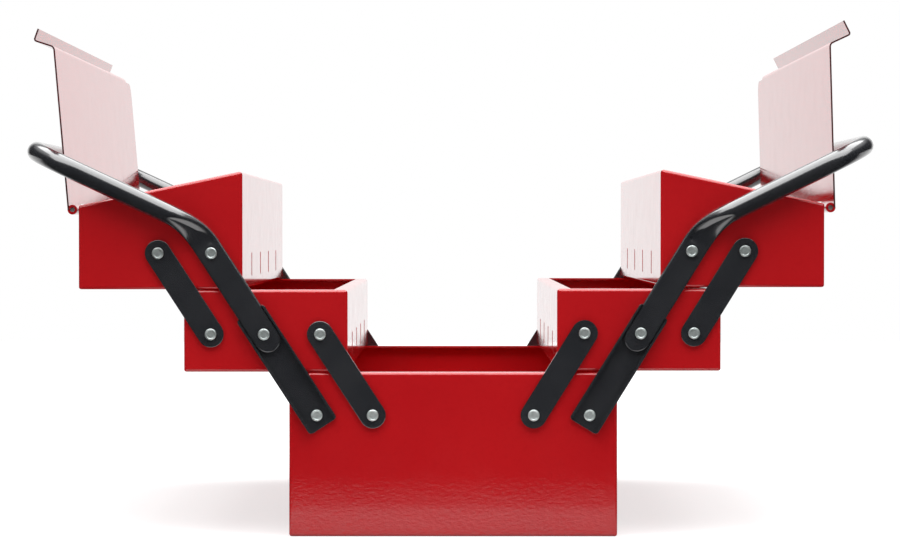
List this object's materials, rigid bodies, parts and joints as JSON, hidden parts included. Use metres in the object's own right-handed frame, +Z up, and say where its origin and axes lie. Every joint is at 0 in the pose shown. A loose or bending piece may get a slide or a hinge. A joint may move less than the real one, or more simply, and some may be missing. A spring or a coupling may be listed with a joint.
{
  "type": "cantilever tool box",
  "caption": "Folded-steel cantilever tool box: side trays swing out on rivetted arms as the tube handles open, with sloping lids on rolled hinges.",
  "frame": {"origin": "centre of the bottom tray's underside", "axes": "+X across the box towards the right-hand trays, +Y along it away from the viewer, +Z up; drawn fully open"},
  "size_m": [0.5202, 0.4576, 0.3144],
  "materials": {
    "red_paint": "gloss",
    "black_paint": "semi-gloss",
    "bright_zinc": "zinc plated"
  },
  "bodies": {
    "bottom": {"bottom_tray": "red_paint", "bottom_rivets": "bright_zinc"},
    "left_handle": {"left_handle": "black_paint", "left_front_channel_arm": "black_paint", "left_rear_channel_arm": "black_paint"},
    "left_middle_tray": {"left_middle_tray": "red_paint", "left_middle_dividers": "red_paint", "left_middle_rivets": "bright_zinc"},
    "left_top_tray": {"left_top_tray": "red_paint", "left_top_dividers": "red_paint", "left_top_rivets": "bright_zinc", "left_spacers": "bright_zinc", "left_hinge_pin": "bright_zinc"},
    "left_lid": {"left_lid": "red_paint"},
    "left_lower_links": {"left_front_lower_link": "black_paint", "left_rear_lower_link": "black_paint"},
    "left_upper_links": {"left_front_upper_link": "black_paint", "left_rear_upper_link": "black_paint"},
    "right_handle": {"right_handle": "black_paint", "right_front_channel_arm": "black_paint", "right_rear_channel_arm": "black_paint"},
    "right_middle_tray": {"right_middle_tray": "red_paint", "right_middle_dividers": "red_paint", "right_middle_rivets": "bright_zinc"},
    "right_top_tray": {"right_top_tray": "red_paint", "right_top_dividers": "red_paint", "right_top_rivets": "bright_zinc", "right_spacers": "bright_zinc", "right_hinge_pin": "bright_zinc"},
    "right_lid": {"right_lid": "red_paint"},
    "right_lower_links": {"right_front_lower_link": "black_paint", "right_rear_lower_link": "black_paint"},
    "right_upper_links": {"right_front_upper_link": "black_paint", "right_rear_upper_link": "black_paint"}
  },
  "joints": [
    {"name": "left_handle_swing", "type": "hinge", "parent": "bottom", "child": "left_handle", "pos_m": [-0.083, 0, 0.074], "axis": [0, 1, 0], "range_deg": [0, 65.97]},
    {"name": "left_middle_tray_pivot", "type": "hinge", "parent": "left_handle", "child": "left_middle_tray", "pos_m": [-0.115, 0, 0.1233], "axis": [0, 1, 0], "range_deg": [-65.97, 0]},
    {"name": "left_top_tray_pivot", "type": "hinge", "parent": "left_handle", "child": "left_top_tray", "pos_m": [-0.147, 0, 0.1726], "axis": [0, 1, 0], "range_deg": [-65.97, 0]},
    {"name": "left_lower_link_swing", "type": "hinge", "parent": "bottom", "child": "left_lower_links", "pos_m": [-0.049, 0, 0.074], "axis": [0, 1, 0], "range_deg": [0, 65.97]},
    {"name": "left_upper_link_swing", "type": "hinge", "parent": "left_middle_tray", "child": "left_upper_links", "pos_m": [-0.1475, 0, 0.1233], "axis": [0, 1, 0], "range_deg": [0, 65.97]},
    {"name": "left_lid_hinge", "type": "hinge", "parent": "left_top_tray", "child": "left_lid", "pos_m": [-0.232, 0, 0.19912], "axis": [0, 1, 0], "range_deg": [0, 83.11]},
    {"name": "right_handle_swing", "type": "hinge", "parent": "bottom", "child": "right_handle", "pos_m": [0.083, 0, 0.074], "axis": [0, -1, 0], "range_deg": [0, 64.77]},
    {"name": "right_middle_tray_pivot", "type": "hinge", "parent": "right_handle", "child": "right_middle_tray", "pos_m": [0.11396, 0, 0.12396], "axis": [0, -1, 0], "range_deg": [-64.77, 0]},
    {"name": "right_top_tray_pivot", "type": "hinge", "parent": "right_handle", "child": "right_top_tray", "pos_m": [0.14492, 0, 0.17392], "axis": [0, -1, 0], "range_deg": [-64.77, 0]},
    {"name": "right_lower_link_swing", "type": "hinge", "parent": "bottom", "child": "right_lower_links", "pos_m": [0.049, 0, 0.074], "axis": [0, -1, 0], "range_deg": [0, 64.77]},
    {"name": "right_upper_link_swing", "type": "hinge", "parent": "right_middle_tray", "child": "right_upper_links", "pos_m": [0.14646, 0, 0.12396], "axis": [0, -1, 0], "range_deg": [0, 64.77]},
    {"name": "right_lid_hinge", "type": "hinge", "parent": "right_top_tray", "child": "right_lid", "pos_m": [0.22992, 0, 0.20044], "axis": [0, -1, 0], "range_deg": [0, 74.51]}
  ],
  "couplings": [
    {"joint": "left_middle_tray_pivot", "follows": "left_handle_swing", "ratio": -1},
    {"joint": "left_top_tray_pivot", "follows": "left_handle_swing", "ratio": -1},
    {"joint": "left_lower_link_swing", "follows": "left_handle_swing", "ratio": 1},
    {"joint": "left_upper_link_swing", "follows": "left_handle_swing", "ratio": 1},
    {"joint": "left_lid_hinge", "follows": "left_handle_swing", "ratio": 1.2597},
    {"joint": "right_middle_tray_pivot", "follows": "right_handle_swing", "ratio": -1},
    {"joint": "right_top_tray_pivot", "follows": "right_handle_swing", "ratio": -1},
    {"joint": "right_lower_link_swing", "follows": "right_handle_swing", "ratio": 1},
    {"joint": "right_upper_link_swing", "follows": "right_handle_swing", "ratio": 1},
    {"joint": "right_lid_hinge", "follows": "right_handle_swing", "ratio": 1.1502}
  ]
}
